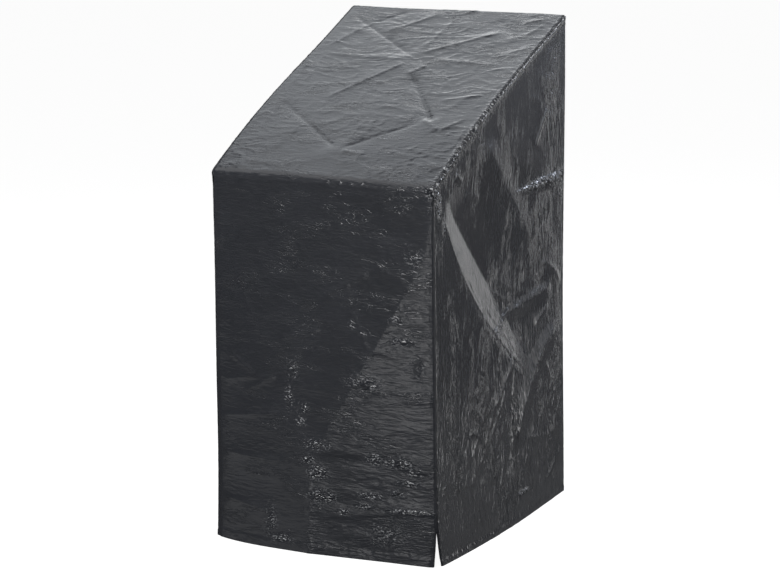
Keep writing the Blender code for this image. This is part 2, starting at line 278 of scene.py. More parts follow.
def strip_line(s):
    """Place (y, z) and outward direction (ny, nz) of the strip's outer face, s along from the hem.

    The place is the running sum of the heading. The arch is added along the slope's normal:
    t times (1 - t)^1.5, t up the slope, scaled so that its highest point is 16 mm.
    """
    fine = np.linspace(0.0, MARKS[-1], PATH_STEPS)
    heading = np.interp(fine, MARKS, HEADINGS)
    middle = (heading[1:] + heading[:-1]) / 2
    y = np.concatenate(([0.0], np.cumsum(np.cos(middle) * fine[1]))) - DEPTH / 2
    z = np.concatenate(([0.0], np.cumsum(np.sin(middle) * fine[1])))
    t = np.clip((fine - MARKS[2]) / (MARKS[3] - MARKS[2]), 0.0, 1.0)
    arch = TOP_ARCH * ARCH_SCALE * t * (1.0 - t) ** ARCH_POWER
    y = y - arch * math.sin(SLOPE)
    z = z + arch * math.cos(SLOPE)
    normal = heading + math.pi / 2
    return tuple(np.interp(s, fine, v) for v in (y, z, np.cos(normal), np.sin(normal)))


print("strip length", round(MARKS[-1], 3), "m, folds at", MARKS[1:5].round(3))

# %% [markdown]
# ## How the whole cover settles
#
# Nothing that hangs is quite straight. Once a panel's points are worked out, one function moves
# them all by a few millimetres. It moves neighbours in two panels alike, so the seams stay closed.

# %% Settling
WAIST = 0.0008
SWAY = 0.0018
SWAY_ACROSS = (5.0, 2.0, 0.6)
SWAY_BACK = (5.0, 4.0, 1.9)
SWAY_UP = (7.0, 5.0, 0.9)
HEM_FLARE = 0.005
FLARE_HEIGHT = 0.350
LEFT_OUT = 0.0075
LEFT_OUT_BELOW = 0.85
LEFT_OUT_OVER = 0.5
CORNER_OUT = 0.010
CORNER_FROM = 1.180


def sway(a, b, turns):
    """A long sine wave: radians for each metre of a, the same for b, and where it starts."""
    return SWAY * np.sin(turns[0] * a + turns[1] * b + turns[2])


def settle(points):
    """Leans and sags the whole cover by a few millimetres.

    Long sine waves move each point, the back draws in round a waist, the front of the hem flares,
    and the lower left front edge and the upper left back corner stand out.
    """
    x, y, z = points.T
    outward = x / (WIDTH / 2)
    on_left = outward < 0.0
    behind = smoothstep((y - CENTRE_Y) / (DEPTH / 2))
    waist = WAIST * behind * np.sin(np.pi * np.clip(z / BACK_HEIGHT, 0.0, 1.0)) ** 2
    flare = HEM_FLARE * (1.0 - behind) * np.clip(1.0 - z / FLARE_HEIGHT, 0.0, 1.0) ** 2
    left_out = LEFT_OUT * (1.0 - behind) * smoothstep((LEFT_OUT_BELOW - z) / LEFT_OUT_OVER) * on_left
    near_top = smoothstep((z - CORNER_FROM) / (BACK_HEIGHT - CORNER_FROM))
    corner = CORNER_OUT * behind * near_top * on_left
    move = (
        sway(z, y, SWAY_ACROSS) + (flare + left_out + corner - waist) * outward,
        sway(z, x, SWAY_BACK) - waist,
        -sway(x, y, SWAY_UP) * smoothstep(z / FLARE_HEIGHT),
    )
    return points + np.stack(move, axis=1)


corner = np.array([[WIDTH / 2, -DEPTH / 2, 0.0]])
print("the right front corner of the hem moves by", (settle(corner) - corner).round(4).tolist()[0])

# %% [markdown]
# ## Folds placed one by one
#
# Each long crease is one row of a table: where it starts and ends on its panel, how high it stands
# at each end, and how wide its two flanks are. Across its line a fold is a tent with a small round
# crest, so it reads as a crease and not as a wave. A negative height is a trough. A pleat is wider
# and flat-sided, and keeps one slope from end to end, so that it mirrors one place as a plane does.

# %% Tables of folds
# On the strip, x runs across and s up the front from the hem and on up the slope.
STRIP_FOLDS = (
    # x0, s0, x1, s1, high0, high1, left, right, bow
    (0.002, 0.690, 0.150, 0.770, 0.002, 0.002, 0.022, 0.022, 0.0),
    (-0.330, 0.122, -0.130, 0.095, 0.006, 0.003, 0.020, 0.026, 0.004),
    (-0.330, 0.435, -0.120, 0.462, 0.003, 0.002, 0.026, 0.026, 0.006),
    (-0.330, 0.340, -0.100, 0.372, 0.004, 0.003, 0.026, 0.026, 0.0),
    (-0.330, 0.245, -0.090, 0.240, 0.004, 0.003, 0.024, 0.026, 0.0),
    (-0.010, 0.105, 0.320, 0.150, 0.0015, 0.0025, 0.020, 0.026, 0.0),
    (0.082, 0.515, 0.172, 0.442, 0.002, 0.002, 0.018, 0.018, 0.0),
    (-0.320, 1.825, -0.020, 1.600, -0.0024, -0.0048, 0.024, 0.020, 0.0),
    (-0.015, 1.570, -0.165, 1.340, 0.0042, 0.003, 0.022, 0.026, 0.0),
    (-0.005, 1.610, 0.190, 1.750, 0.0042, 0.003, 0.022, 0.024, 0.0),
    (-0.008, 1.630, 0.018, 1.830, 0.0024, 0.0018, 0.020, 0.020, 0.0),
    (-0.010, 1.578, -0.300, 1.580, 0.003, 0.0018, 0.020, 0.022, 0.0),
    (0.035, 1.583, 0.270, 1.572, 0.0024, 0.0018, 0.020, 0.022, 0.0),
    (0.022, 1.510, 0.195, 1.270, -0.0065, -0.009, 0.024, 0.020, 0.0),
    (0.170, 1.280, -0.008, 1.118, -0.0026, -0.0024, 0.028, 0.030, 0.0),
    (-0.290, 1.330, -0.006, 1.115, -0.003, -0.0048, 0.026, 0.022, 0.0),
    (-0.165, 1.710, -0.030, 1.845, 0.0042, 0.0024, 0.028, 0.028, 0.0),
    (-0.140, 1.845, -0.218, 1.773, -0.0024, -0.0036, 0.020, 0.022, 0.0),
    (-0.215, 1.775, -0.298, 1.600, 0.003, 0.003, 0.022, 0.022, 0.0),
    (0.145, 1.825, 0.240, 1.720, -0.0018, -0.0036, 0.022, 0.022, 0.0),
    (0.160, 1.285, 0.230, 1.232, 0.003, 0.003, 0.020, 0.020, 0.0),
    (0.228, 1.230, 0.285, 1.300, 0.003, 0.0024, 0.020, 0.020, 0.0),
    (0.165, 1.378, 0.290, 1.416, 0.0024, 0.0024, 0.020, 0.022, 0.0),
    (-0.150, 2.020, -0.130, 3.250, 0.002, 0.004, 0.060, 0.060, 0.012),
    (0.120, 2.050, 0.150, 3.250, 0.002, 0.004, 0.070, 0.060, -0.014),
)
# A pleat is highest on its line. To the left of it, looking from the first end to the second, it
# falls at the slope `steep`, over a flank that is start wide at one end, end wide at the other and
# swell wider between them. To the right its flank is `wider` times that. A negative slope is a
# trough, smooth says how flat it pulls the wrinkles, and bow bends the line to its left.
RIGHT_PLEATS = (
    # d0, z0, d1, z1, steep, start, end, swell, wider, smooth, bow
    (0.585, 0.405, 0.040, 0.985, -0.20, 0.045, 0.020, 0.080, 3.0, 0.7, -0.016),
    (0.280, 1.090, 0.600, 0.750, 0.12, 0.030, 0.030, 0.020, 2.5, 0.0, 0.0),
    (0.400, 0.578, 0.720, 0.612, 0.26, 0.014, 0.016, 0.006, 2.0, 0.3, 0.0),
    (0.440, 0.903, 0.900, 0.907, 0.48, 0.003, 0.024, 0.0, 2.0, 0.5, 0.0),
    (0.431, 0.190, 0.775, 0.505, 0.24, 0.034, 0.034, 0.004, 1.5, 0.4, 0.060),
)
LEFT_PLEATS = (
    # d0, z0, d1, z1, steep, start, end, swell, wider, smooth, bow
    (0.500, 0.460, 0.060, 0.950, -0.06, 0.050, 0.030, 0.060, 3.0, 0.4, -0.010),
)
# On a side panel, d runs back from the front edge and z up from the hem.
RIGHT_FOLDS = (
    # d0, z0, d1, z1, high0, high1, left, right, bow
    (0.810, 0.535, 0.590, 0.402, 0.003, 0.003, 0.050, 0.045, 0.0),
    (0.600, 0.410, 0.470, 0.225, 0.003, 0.002, 0.045, 0.060, 0.0),
    (0.452, 0.480, 0.408, 0.120, -0.006, -0.005, 0.030, 0.022, 0.0),
    (0.345, 0.710, 0.425, 0.550, -0.002, -0.002, 0.014, 0.014, 0.0),
    (0.012, 0.990, 0.560, 0.400, 0.003, 0.005, 0.140, 0.140, -0.065),
    (0.190, 0.190, 0.445, 0.495, 0.002, 0.005, 0.030, 0.040, -0.022),
    (0.640, 0.690, 0.785, 0.600, 0.004, 0.005, 0.020, 0.028, 0.012),
    (0.610, 1.205, 0.760, 1.160, 0.001, 0.001, 0.022, 0.024, 0.0),
    (0.600, 1.010, 0.680, 1.110, 0.003, 0.003, 0.026, 0.026, 0.0),
    (0.640, 0.060, 0.790, 0.150, 0.004, 0.006, 0.030, 0.030, 0.0),
)
LEFT_FOLDS = (
    # d0, z0, d1, z1, high0, high1, left, right, bow
    (0.800, 0.640, 0.430, 0.300, 0.007, 0.005, 0.080, 0.080, 0.020),
    (0.430, 0.960, 0.790, 0.930, 0.004, 0.005, 0.060, 0.060, 0.010),
)
# Finer creases, which the solids leave out.
STRIP_CREASES = (
    # x0, s0, x1, s1, high0, high1, left, right, bow
    (-0.022, 0.262, 0.300, 0.812, 0.001, 0.0007, 0.006, 0.020, 0.0),
    (-0.037, -0.040, -0.030, 0.275, 0.0024, 0.0024, 0.005, 0.040, 0.0),
    (0.142, 0.770, 0.184, 0.775, 0.001, 0.001, 0.010, 0.012, 0.0),
    (0.182, 0.776, 0.245, 0.750, 0.001, 0.0006, 0.010, 0.012, 0.0),
    (0.155, 0.792, 0.205, 0.765, 0.0008, 0.0008, 0.008, 0.010, 0.0),
    (0.075, 0.747, 0.090, 0.667, 0.0006, 0.001, 0.010, 0.010, 0.0),
    (0.090, 0.667, 0.142, 0.560, 0.001, 0.001, 0.010, 0.010, 0.0),
    (-0.238, 0.693, -0.180, 0.573, 0.001, 0.002, 0.012, 0.012, 0.0),
    (-0.182, 0.573, -0.145, 0.575, 0.002, 0.001, 0.010, 0.010, 0.0),
    (-0.298, 0.533, -0.188, 0.463, 0.002, 0.002, 0.012, 0.012, 0.0),
    (-0.125, 0.565, 0.004, 0.607, 0.002, 0.002, 0.012, 0.014, 0.0),
    (-0.235, 0.410, -0.125, 0.473, 0.002, 0.002, 0.012, 0.014, 0.0),
    (0.170, 0.930, 0.275, 0.905, 0.001, 0.001, 0.012, 0.012, 0.010),
    (0.048, 1.553, 0.008, 1.500, 0.003, 0.002, 0.010, 0.012, 0.0),
    (0.002, 1.113, 0.078, 1.106, 0.003, 0.002, 0.010, 0.012, 0.0),
    (0.002, 1.262, 0.002, 1.164, 0.001, 0.001, 0.012, 0.012, 0.0),
    (-0.072, 1.393, -0.038, 1.320, 0.001, 0.001, 0.012, 0.012, 0.0),
    (0.222, 1.800, 0.308, 1.842, 0.003, 0.002, 0.012, 0.014, 0.0),
    (0.308, 1.842, 0.262, 1.733, 0.003, 0.003, 0.014, 0.012, 0.0),
)
RIGHT_CREASES = (
    # d0, z0, d1, z1, high0, high1, left, right, bow
    (0.370, 0.700, 0.590, 0.610, 0.003, 0.002, 0.012, 0.012, -0.010),
    (0.070, 0.905, 0.250, 0.680, 0.0008, 0.0008, 0.006, 0.010, -0.020),
    (0.190, 0.740, 0.420, 0.500, 0.0008, 0.001, 0.006, 0.010, -0.015),
    (0.290, 0.640, 0.520, 0.440, 0.001, 0.001, 0.006, 0.008, 0.0),
    (0.355, 0.670, 0.505, 0.600, 0.002, 0.003, 0.010, 0.010, -0.008),
    (0.400, 0.560, 0.460, 0.600, 0.003, 0.003, 0.012, 0.012, 0.0),
    (0.460, 0.600, 0.540, 0.575, 0.002, 0.002, 0.012, 0.014, 0.0),
    (0.600, 0.520, 0.690, 0.562, 0.003, 0.003, 0.012, 0.012, 0.0),
    (0.170, 0.320, 0.245, 0.280, 0.003, 0.002, 0.012, 0.012, 0.010),
    (0.200, 0.380, 0.250, 0.320, 0.003, 0.003, 0.012, 0.012, 0.006),
    (0.178, 0.393, 0.239, 0.329, 0.002, 0.002, 0.012, 0.014, 0.0),
    (0.239, 0.329, 0.200, 0.270, 0.002, 0.002, 0.012, 0.014, 0.0),
    (0.200, 0.285, 0.198, 0.165, 0.002, 0.002, 0.012, 0.014, 0.0),
    (0.430, 0.470, 0.315, 0.355, 0.003, 0.003, 0.018, 0.022, 0.006),
    (0.350, 0.395, 0.255, 0.255, 0.003, 0.002, 0.014, 0.018, -0.006),
    (0.351, 0.388, 0.415, 0.236, 0.002, 0.002, 0.012, 0.014, 0.006),
    (0.318, 0.205, 0.300, 0.050, 0.002, 0.002, 0.014, 0.016, 0.004),
    (0.649, 0.418, 0.760, 0.245, 0.002, 0.003, 0.016, 0.018, 0.004),
    (0.754, 0.265, 0.772, 0.175, 0.003, 0.002, 0.012, 0.014, 0.0),
    (0.481, 0.219, 0.633, 0.197, 0.002, 0.002, 0.014, 0.014, 0.006),
    (0.620, 0.197, 0.760, 0.206, 0.002, 0.002, 0.012, 0.014, -0.004),
    (0.700, 0.250, 0.760, 0.400, 0.003, 0.003, 0.014, 0.014, 0.0),
    (0.780, 0.700, 0.778, 0.880, 0.004, 0.004, 0.012, 0.012, 0.0),
    (0.460, 0.076, 0.530, 0.078, 0.003, 0.003, 0.006, 0.008, 0.0),
    (0.400, 1.188, 0.700, 1.292, 0.002, 0.003, 0.010, 0.008, 0.0),
    (0.560, 1.150, 0.650, 1.110, 0.001, 0.001, 0.012, 0.012, 0.012),
    (0.120, 1.015, 0.165, 0.985, 0.003, 0.003, 0.010, 0.010, 0.0),
    (0.190, 0.950, 0.280, 0.930, 0.002, 0.002, 0.012, 0.012, 0.0),
)
placed = (STRIP_FOLDS, STRIP_CREASES, RIGHT_FOLDS, RIGHT_CREASES, LEFT_FOLDS)
print("folds and creases placed by hand:", sum(map(len, placed)))

# %% Folds and pleats
FOLD_CREST = 0.10
LINE_WIDTH = 0.0055
LINE_SHARE = 0.35
PLEAT_CREST = 0.02
PLEAT_FOOT = 0.06
ENDS = 6.0
COVER_SPREAD = 2.5
SEAM_FLAT = 0.012
SEAM_MARGIN = 0.055


def beside(a, b, a0, b0, a1, b1, bow):
    """Where the places (a, b) lie beside a line that bows to its left by a parabola.

    Gives how far along the line they are, from 0 to 1, the height of that parabola, how many metres
    they are to the left of the line, and a fade that falls to 0 over the last sixth at each end.
    """
    length = math.hypot(a1 - a0, b1 - b0)
    ua = (a1 - a0) / length
    ub = (b1 - b0) / length
    along = ((a - a0) * ua + (b - b0) * ub) / length
    inside = np.clip(along, 0.0, 1.0)
    parabola = 4.0 * inside * (1.0 - inside)
    across = (b - b0) * ua - (a - a0) * ub - bow * parabola
    return inside, parabola, across, smoothstep(along * ENDS) * smoothstep((1.0 - along) * ENDS)


def fold_field(a, b, table):
    """Sum of the folds of a table at the places (a, b) of a panel.

    Across its line a fold is a tent with a round crest, exp(c - sqrt(t^2 + c^2)), where t is the
    distance from the line over the flank's width. A third of its height is a narrow ridge on the
    crest, exp(-(distance / width)^2). Its height runs straight from one end to the other.
    """
    total = np.zeros_like(a)
    for *ends, high0, high1, left, right, bow in table:
        inside, _, across, fade = beside(a, b, *ends, bow)
        t = across / np.where(across > 0.0, left, right)
        tent = np.exp(FOLD_CREST - np.sqrt(t * t + FOLD_CREST * FOLD_CREST))
        line = np.exp(-((across / LINE_WIDTH) ** 2))
        high = high0 + (high1 - high0) * inside
        total += ((1.0 - LINE_SHARE) * tent + LINE_SHARE * line) * high * fade
    return total


def pleat_field(a, b, table):
    """Sum of the pleats of a table, and how smooth they pull the cloth at each point, 0 to 1.

    Across its line a pleat is a flat-sided hat, 1 - |t| and not below 0, with its crest and feet
    rounded a little, where t is the distance from the line over the flank's width. The width runs
    straight from end to end, plus a parabola between, and the height keeps pace with it, so that
    the flank's slope stays the same.
    """
    total = np.zeros_like(a)
    cover = np.zeros_like(a)
    for *ends, steep, start, end, swell, wider, smooth, bow in table:
        inside, parabola, across, fade = beside(a, b, *ends, bow)
        width = start + (end - start) * inside + swell * parabola
        t = across / (width * np.where(across > 0.0, 1.0, wider))
        drop = 1.0 + PLEAT_CREST - np.sqrt(t * t + PLEAT_CREST * PLEAT_CREST)
        hat = 0.5 * (drop + np.sqrt(drop * drop + PLEAT_FOOT * PLEAT_FOOT))
        total += steep * width * hat * fade
        cover = np.maximum(cover, smooth * smoothstep(COVER_SPREAD * hat) * fade)
    return total, cover


def held(distance):
    """0 on the flat next to a seam, 1 past the margin, and a smooth step between them."""
    return smoothstep((distance - SEAM_FLAT) / SEAM_MARGIN)


first = STRIP_FOLDS[0]
crest = fold_field(*np.linspace(first[:2], first[2:4], 99).T, (first,))
print("the first fold stands up by", (crest.max() * 1000).round(1), "mm")

# %% [markdown]
# ## Wrinkles that nobody places
#
# Between the folds the sheeting is covered in small wrinkles. They could be drawn one by one, but
# there are thousands. A random field does it better: random heights at the crossings of a square
# lattice, joined by a smooth curve. Stretching the lattice makes the wrinkles long in one direction,
# as they are here, because the weave gives more one way than the other. Wherever the field crosses
# zero runs a thin ridge, so its soft waves become creases.

# %% Random wrinkles
LATTICE = 128
# Two sets of ridges, a coarse one and a fine one: scale, share of the height, turn in radians.
RIDGE_SETS = ((1.0, 0.65, 0.10), (0.55, 0.35, -0.22))
# How far the ridges bend, and the size of a bend in ridge lengths and in gaps between ridges.
BEND, BEND_LENGTHS, BEND_GAPS = 1.4, 1.7, 4.0
# How much of the cloth has ridges, how sharply they come and go, and how slowly.
PATCH_SHARE, PATCH_EDGE, PATCH_PACE = 0.45, 1.3, 0.4


def waves(a, b, seed):
    """Smooth random heights from -1 to 1, with a new random height at each whole a and b."""
    lattice = np.random.default_rng(seed).uniform(-1.0, 1.0, (LATTICE, LATTICE))
    ia, ib = np.floor(a).astype(int), np.floor(b).astype(int)
    fa, fb = smoothstep(a - ia), smoothstep(b - ib)
    a0, a1, b0, b1 = (i % LATTICE for i in (ia, ia + 1, ib, ib + 1))
    low = lattice[a0, b0] * (1.0 - fa) + lattice[a1, b0] * fa
    high = lattice[a0, b1] * (1.0 - fa) + lattice[a1, b1] * fa
    return low * (1.0 - fb) + high * fb


def wave_row(a, seed):
    """The same along a line: a random height at each whole a."""
    return waves(a, np.full_like(a, 0.5), seed)


def pulse(a, seed):
    """Slow growing and shrinking along a line: 0.6, give or take 0.4 times such a wave."""
    return 0.6 + 0.4 * wave_row(a, seed)


def ridges(long, cross, size, stretch, sharp, seed):
    """Thin ridges from 0 to 1 over flat cloth: size metres apart, stretch times longer along `long`.

    A ridge runs wherever a stretched field crosses zero, exp(-(field / sharp)^2) high. A slow field
    bends the lines, a second one lets them fade in and out, and a finer set joins in lower.
    """
    bend = BEND * waves(long / (size * stretch * BEND_LENGTHS), cross / (size * BEND_GAPS), seed + 50)
    total = np.zeros_like(long)
    for number, (scale, share, turn) in enumerate(RIDGE_SETS):
        a = (long * math.cos(turn) + cross * math.sin(turn)) / (size * stretch * scale)
        b = (cross * math.cos(turn) - long * math.sin(turn)) / (size * scale)
        field = waves(a, b + bend, seed + number)
        patches = waves(a * PATCH_PACE, b * PATCH_PACE, seed + 20 + number)
        there = smoothstep(PATCH_SHARE + PATCH_EDGE * patches)
        total += share * np.exp(-((field / sharp) ** 2)) * there
    return total


def wrinkles(long, cross, table, seed=0):
    """Sum of a table's sets of ridges, each as high as its row says."""
    return sum(high * ridges(long, cross, *row, seed + own) for high, *row, own in table)


ramp = np.linspace(0.0, 1.0, 500)
print("ridges reach", ridges(ramp, 2.0 * ramp, 0.01, 3.0, 0.22, 1).max().round(2), "at most 1")

# %% [markdown]
# ## The long strip
#
# The strip is a grid of points: columns across, rows along. Each point stands out from the flat
# pattern by the bulge of the panel, the folds and the wrinkles, and near a seam they all die out,
# because stitches hold the cloth flat there. Columns and rows crowd together at the seams and hems,
# where the cloth turns most. The grid's border is closed to an inner grid, so the sheet has a real
# thickness.

# %% Grids
SEAM_OFFSETS = (0.0, 0.001, 0.0022, 0.0038, 0.006, 0.009, 0.013)
HEM_OFFSETS = (0.0, 0.002, 0.005, 0.009, 0.013)
LINING_STEP = 3


def spaced(start, end, count, at_start=(), at_end=()):
    """Even steps from start to end, with closer ones at the ends at the offsets given."""
    low = [start + offset for offset in at_start]
    high = [end - offset for offset in at_end][::-1]
    first = low[-1] if low else start
    last = high[0] if high else end
    return np.array(low[:-1] + np.linspace(first, last, count + 1).tolist() + high[1:])


def lined(grid):
    """Points of a closed thin sheet: the outer grid, then an inner one at every third point.

    The inner points lie a cloth's thickness below, against the normal. Nobody sees that side, so it
    spends a ninth of the faces.
    """
    normal = np.cross(np.gradient(grid, axis=1), np.gradient(grid, axis=0))
    normal /= np.linalg.norm(normal, axis=2, keepdims=True)
    inner = (grid - CLOTH * normal)[::LINING_STEP, ::LINING_STEP]
    return np.concatenate((grid.reshape(-1, 3), inner.reshape(-1, 3)))


def quads(index):
    """The four corners of every cell of a grid of point numbers, turned the outward way."""
    corners = (index[:-1, :-1], index[:-1, 1:], index[1:, 1:], index[1:, :-1])
    return np.stack(corners, axis=2).reshape(-1, 4)


def rim(outer, inner):
    """Triangles that close a border: three outer steps meet each inner one."""
    a, b, c, d = (outer[start::LINING_STEP][:len(inner) - 1] for start in (0, 1, 2, 3))
    low, high = inner[:-1], inner[1:]
    faces = ((a, low, b), (b, low, c), (c, low, high), (c, high, d))
    return np.concatenate([np.stack(face, axis=1) for face in faces])


def grid_sheet(name, grid, cloth_uv, crumple, streaked):
    """Closed mesh of one panel, with the cloth's own coordinates and two masks for the material."""
    rows, columns = grid.shape[:2]
    outer = np.arange(rows * columns).reshape(rows, columns)
    inner = outer[::LINING_STEP, ::LINING_STEP]
    inner = outer.size + np.arange(inner.size).reshape(inner.shape)
    cells = np.concatenate((quads(outer), quads(inner)[:, ::-1]))
    around = ((0, slice(None)), (slice(None), -1), (-1, slice(None, None, -1)), (slice(None, None, -1), 0))
    edging = np.concatenate([rim(outer[side], inner[side]) for side in around])
    points = settle(lined(grid))
    mesh = bpy.data.meshes.new(name)
    mesh.from_pydata(points, [], cells.tolist() + edging.tolist())
    mesh.shade_smooth()

    def both(values):
        """The values at the outer points, then at the inner ones."""
        thinned = values[::LINING_STEP, ::LINING_STEP]
        flat = (values.reshape(outer.size, -1), thinned.reshape(inner.size, -1))
        return np.concatenate(flat).astype(np.float32)

    corners = np.empty(len(mesh.loops), np.int32)
    mesh.loops.foreach_get("vertex_index", corners)
    mesh.uv_layers.new(name="cloth").data.foreach_set("uv", both(cloth_uv)[corners].ravel())
    for key, values in (("crumple", crumple), ("streaked", streaked)):
        mesh.attributes.new(key, "FLOAT", "POINT").data.foreach_set("value", both(values).ravel())
    piece = bpy.data.objects.new(name, mesh)
    bpy.context.scene.collection.objects.link(piece)
    print(name, 2 * len(cells) + len(edging), "triangles, size", np.ptp(points, axis=0).round(3).tolist())
    return piece


print("closest rows at a hem", HEM_OFFSETS[1] * 1000, "mm, at a seam", SEAM_OFFSETS[1] * 1000, "mm")

# %% Seams and hems
SEAM_ROUND = 0.006
SEAM_PINCH = 0.0022
PINCH_REACH = 0.0022
PUCKER_STEP = 0.006
PUCKER_SLOW = 0.060
PUCKER_REACH = 0.010
HEM_FRONT = 0.026
HEM_SIDE = 0.018
HEM_STEP = 0.0009
HEM_STEP_WIDTH = 0.003
HEM_GROOVE = 0.0007
GROOVE_WIDTH = 0.0018
HEM_PUCKERS = 0.0014


def seam_round(edge):
    """How far the cloth turns in at a seam, edge metres away from it.

    An eighth of a circle, with a sharp pinch in the last millimetres where the stitches pull.
    """
    reach = np.clip(1.0 - edge / SEAM_ROUND, 0.0, 1.0)
    turned = SEAM_ROUND * (1.0 - np.sqrt(1.0 - 0.5 * reach ** 2))
    return turned + SEAM_PINCH * np.exp(-((edge / PINCH_REACH) ** 2))


def puckers(along, edge, seed):
    """Small gathers along a line of stitches: 12 mm waves times exp(-distance / 10 mm)."""
    slow = pulse(along / PUCKER_SLOW, seed + 1)
    return wave_row(along / PUCKER_STEP, seed) * slow * np.exp(-edge / PUCKER_REACH)


def hem_relief(along, from_edge, hem, seed):
    """Height of a turned hem: a step at its stitch line, a groove under the thread, and gathers."""
    past = from_edge - hem
    step = HEM_STEP * (1.0 - smoothstep(past / HEM_STEP_WIDTH + 0.5))
    groove = -HEM_GROOVE * np.exp(-((past / GROOVE_WIDTH) ** 2))
    return step + groove + HEM_PUCKERS * puckers(along, np.abs(past), seed)


print("a seam turns in by", round(seam_round(0.0) * 1000, 1), "mm")

# %% Crumple spots
# Where the sheeting was crushed, small sharp wrinkles stay, and the material paints glints there as
# whitish specks of base colour. A row is a spot: its centre on the panel, how far it reaches each
# way, and how strong it is.
STRIP_SPOTS = (
    # x, s, reach across, reach along, strength
    (0.270, 0.815, 0.022, 0.020, 0.6),
    (0.220, 0.648, 0.016, 0.010, 0.8),
    (0.237, 0.595, 0.028, 0.008, 0.9),
    (0.093, 0.628, 0.009, 0.009, 0.9),
    (0.280, 0.530, 0.018, 0.032, 0.35),
    (-0.080, 0.485, 0.012, 0.024, 0.6),
    (-0.090, 0.415, 0.010, 0.024, 0.9),
    (-0.045, 0.390, 0.014, 0.012, 0.9),
    (-0.054, 0.355, 0.012, 0.010, 0.9),
    (-0.010, 0.298, 0.032, 0.012, 1.1),
    (-0.035, 0.255, 0.012, 0.010, 1.2),
    (-0.005, 0.222, 0.022, 0.014, 1.4),
    (0.005, 0.162, 0.032, 0.014, 1.0),
    (0.063, 0.125, 0.014, 0.008, 0.8),
    (0.125, 0.475, 0.040, 0.020, 0.5),
    (0.156, 0.277, 0.020, 0.014, 0.9),
    (0.223, 0.272, 0.030, 0.012, 1.2),
    (0.273, 0.250, 0.024, 0.008, 1.0),
    (0.247, 0.220, 0.030, 0.008, 1.0),
    (0.215, 0.190, 0.022, 0.008, 0.9),
    (0.143, 0.175, 0.034, 0.008, 0.9),
    (0.120, 0.148, 0.018, 0.007, 0.9),
    (0.250, 0.143, 0.080, 0.005, 1.1),
    (0.185, 0.078, 0.042, 0.028, 0.45),
    (-0.145, 0.075, 0.016, 0.036, 0.5),
    (-0.110, 0.030, 0.026, 0.010, 0.7),
    (0.315, 0.990, 0.014, 0.018, 1.4),
)
RIGHT_SPOTS = (
    # d, z, reach back, reach up, strength
    (0.014, 0.975, 0.012, 0.020, 1.2),
    (0.030, 0.945, 0.010, 0.026, 1.1),
    (0.052, 0.895, 0.008, 0.024, 0.7),
    (0.370, 0.555, 0.035, 0.010, 1.0),
    (0.680, 0.905, 0.110, 0.012, 1.4),
    (0.790, 0.900, 0.020, 0.030, 1.3),
    (0.495, 0.077, 0.030, 0.004, 1.5),
)
# Where the streaks of a side bunch together.
SIDE_STREAKS = (
    # d, z, reach back, reach up, strength
    (0.240, 0.985, 0.060, 0.110, 0.7),
    (0.430, 0.960, 0.060, 0.120, 0.8),
    (0.700, 1.130, 0.060, 0.110, 0.9),
    (0.620, 0.770, 0.110, 0.100, 0.9),
    (0.500, 0.640, 0.120, 0.090, 0.8),
    (0.100, 1.020, 0.040, 0.040, 0.5),
    (0.740, 0.960, 0.060, 0.080, 0.5),
    (0.450, 0.250, 0.450, 0.260, 1.2),
)
# How the seam's crushed wrinkles and painted glints, whitish specks of base colour, fade back from the
# front fold.
WEAR_LOST, WEAR_FROM, WEAR_OVER = 0.7, 0.25, 0.25


def crumple_mask(a, b, spots):
    """Sum of soft round spots, each exp(-(distance over its reach) squared)."""
    total = np.zeros_like(a)
    for centre_a, centre_b, reach_a, reach_b, strength in spots:
        far = ((a - centre_a) / reach_a) ** 2 + ((b - centre_b) / reach_b) ** 2
        total += strength * np.exp(-far)
    return total


# The same value also places painted glints, whitish specks of base colour, along the seam.
def seam_wear_and_glints(back):
    """How crushed the sloping seam is, that far back from the front fold: 1.0, fading to 0.3."""
    return 1.0 - WEAR_LOST * smoothstep((back - WEAR_FROM) / WEAR_OVER)


print("crumple spots:", len(STRIP_SPOTS), "on the strip,", len(RIGHT_SPOTS), "on the right side")

# %% The strip's form
FRONT_BULGE = 0.036
CREASE_TOP = 0.857
CREASE_FOOT = 0.285
CREASE_X = -0.012
CREASE_SHIFT = 0.023
CREASE_SOFT = 0.10
CREASE_ROUND = 0.02
ACROSS_POWER = 4
TOP_SAG = 0.004
BACK_BULGE = 0.010
BACK_FILLED = 0.8
VENT_HEIGHT = 0.140
VENT_POWER = 1.5
VENT_IN_FRONT = 0.010


def vent(z):
    """How far the vent is open at height z: (1 - z / its height)^1.5, and 0 above its top."""
    return np.clip(1.0 - z / VENT_HEIGHT, 0.0, 1.0) ** VENT_POWER


def soft_clip(t, soft):
    """t held between 0 and 1, with both corners rounded.

    Half of 1 + sqrt(t^2 + soft^2) - sqrt((t - 1)^2 + soft^2).
    """
    return 0.5 * (1.0 + np.sqrt(t * t + soft * soft) - np.sqrt((t - 1.0) ** 2 + soft * soft))


def front_height(x, s):
    """How far the front stands out: two flats that meet in a slanting crease.

    One flat leans out from the crease's top level down to its foot, and stays out below. The other
    falls away from the crease to the right seam. The cloth follows the lower one, rounded where
    they meet, and turns back to the left seam.
    """
    lean = soft_clip((CREASE_TOP - s) / (CREASE_TOP - CREASE_FOOT), CREASE_SOFT)
    start = CREASE_X - CREASE_SHIFT * smoothstep((CREASE_FOOT - s) / CREASE_SHIFT)
    fall = (WIDTH / 2 - x) / (WIDTH / 2 - start)
    lower = 0.5 * (lean + fall - np.sqrt((lean - fall) ** 2 + CREASE_ROUND ** 2))
    return FRONT_BULGE * lower * (1.0 - np.clip(-x / (WIDTH / 2), 0.0, 1.0) ** ACROSS_POWER)


